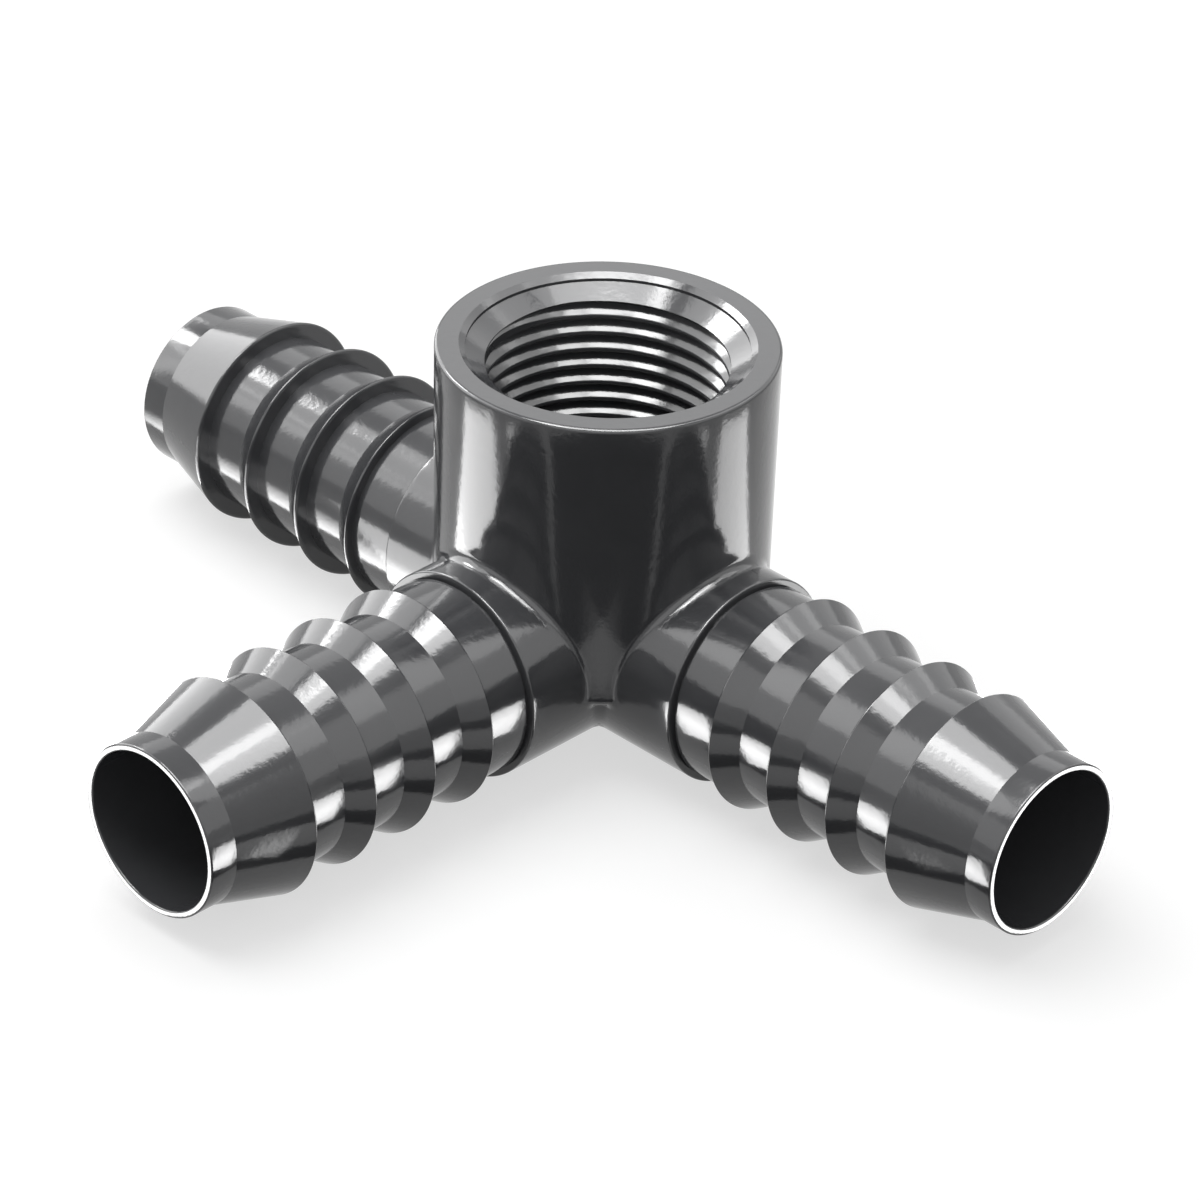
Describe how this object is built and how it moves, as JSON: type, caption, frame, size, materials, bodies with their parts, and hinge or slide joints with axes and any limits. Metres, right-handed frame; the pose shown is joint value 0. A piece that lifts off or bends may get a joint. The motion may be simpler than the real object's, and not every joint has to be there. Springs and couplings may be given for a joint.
{
  "type": "side outlet tee",
  "caption": "Moulded tee pipe fitting with barbed hose spigots in one plane and a threaded socket standing square to them as the side outlet.",
  "frame": {"origin": "the point where the axes of the run, the branch and the threaded socket cross", "axes": "+X along the straight run, out of one of its mouths; -Y along the branch, out of its mouth; +Z along the threaded socket, out of its mouth, which is also up as the fitting rests"},
  "size_m": [0.1166, 0.0749, 0.0399],
  "materials": {
    "pvc": "moulded dark grey PVC, glossy"
  },
  "bodies": {
    "root": {"tee_body": "pvc"}
  },
  "joints": []
}
